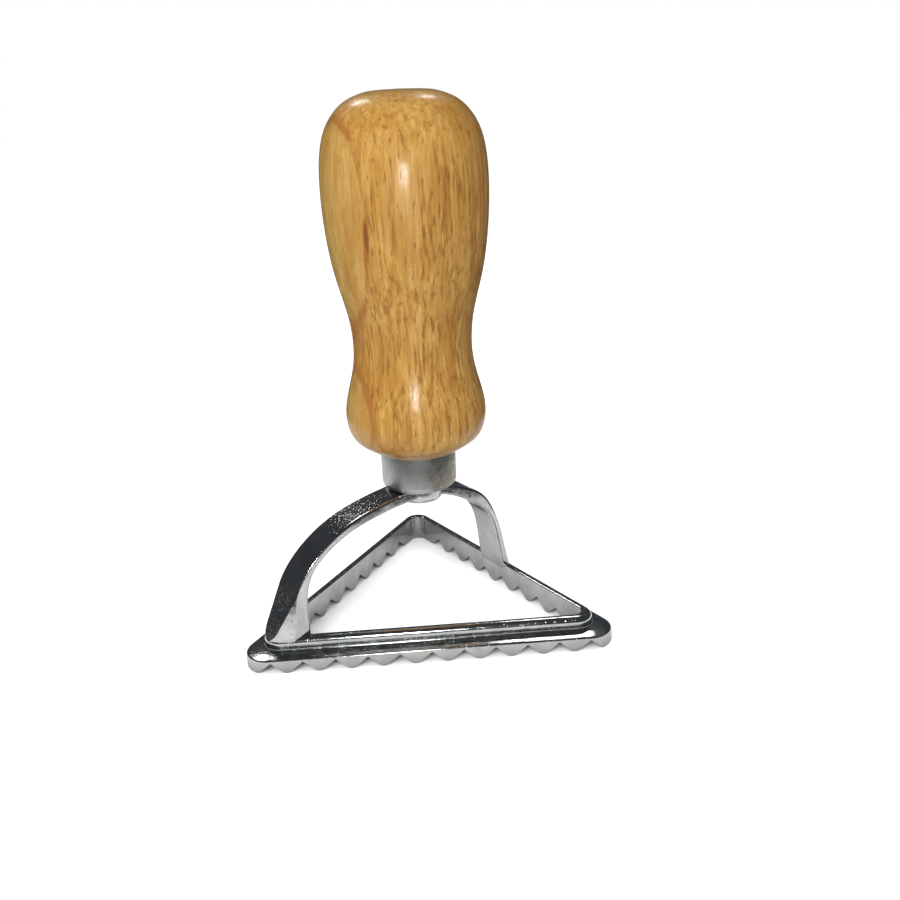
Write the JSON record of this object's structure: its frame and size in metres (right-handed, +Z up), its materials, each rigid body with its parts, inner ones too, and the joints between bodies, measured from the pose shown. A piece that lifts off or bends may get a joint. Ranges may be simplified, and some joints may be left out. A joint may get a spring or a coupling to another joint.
{
  "type": "triangular pastry cutter",
  "caption": "Hand stamp that cuts and seals filled dough: a toothed triangular metal ring on a cast arch, a steel ferrule and a turned wooden handle.",
  "frame": {"origin": "centre of the bounding box, at the height of the tips of the outer teeth", "axes": "+Z up along the handle; +X from the corner that carries one foot of the arch to the middle of the side that carries the other; +Y along that side"},
  "size_m": [0.0614, 0.0694, 0.101],
  "materials": {
    "chromed_casting": "polished chrome on die-cast zinc alloy",
    "satin_steel": "satin, turned",
    "varnished_wood": "clear gloss varnish on light hardwood",
    "plated_screw": "zinc plated"
  },
  "bodies": {
    "root": {"cutter_casting": "chromed_casting", "ferrule": "satin_steel", "wooden_handle": "varnished_wood", "handle_screw": "plated_screw"}
  },
  "joints": []
}
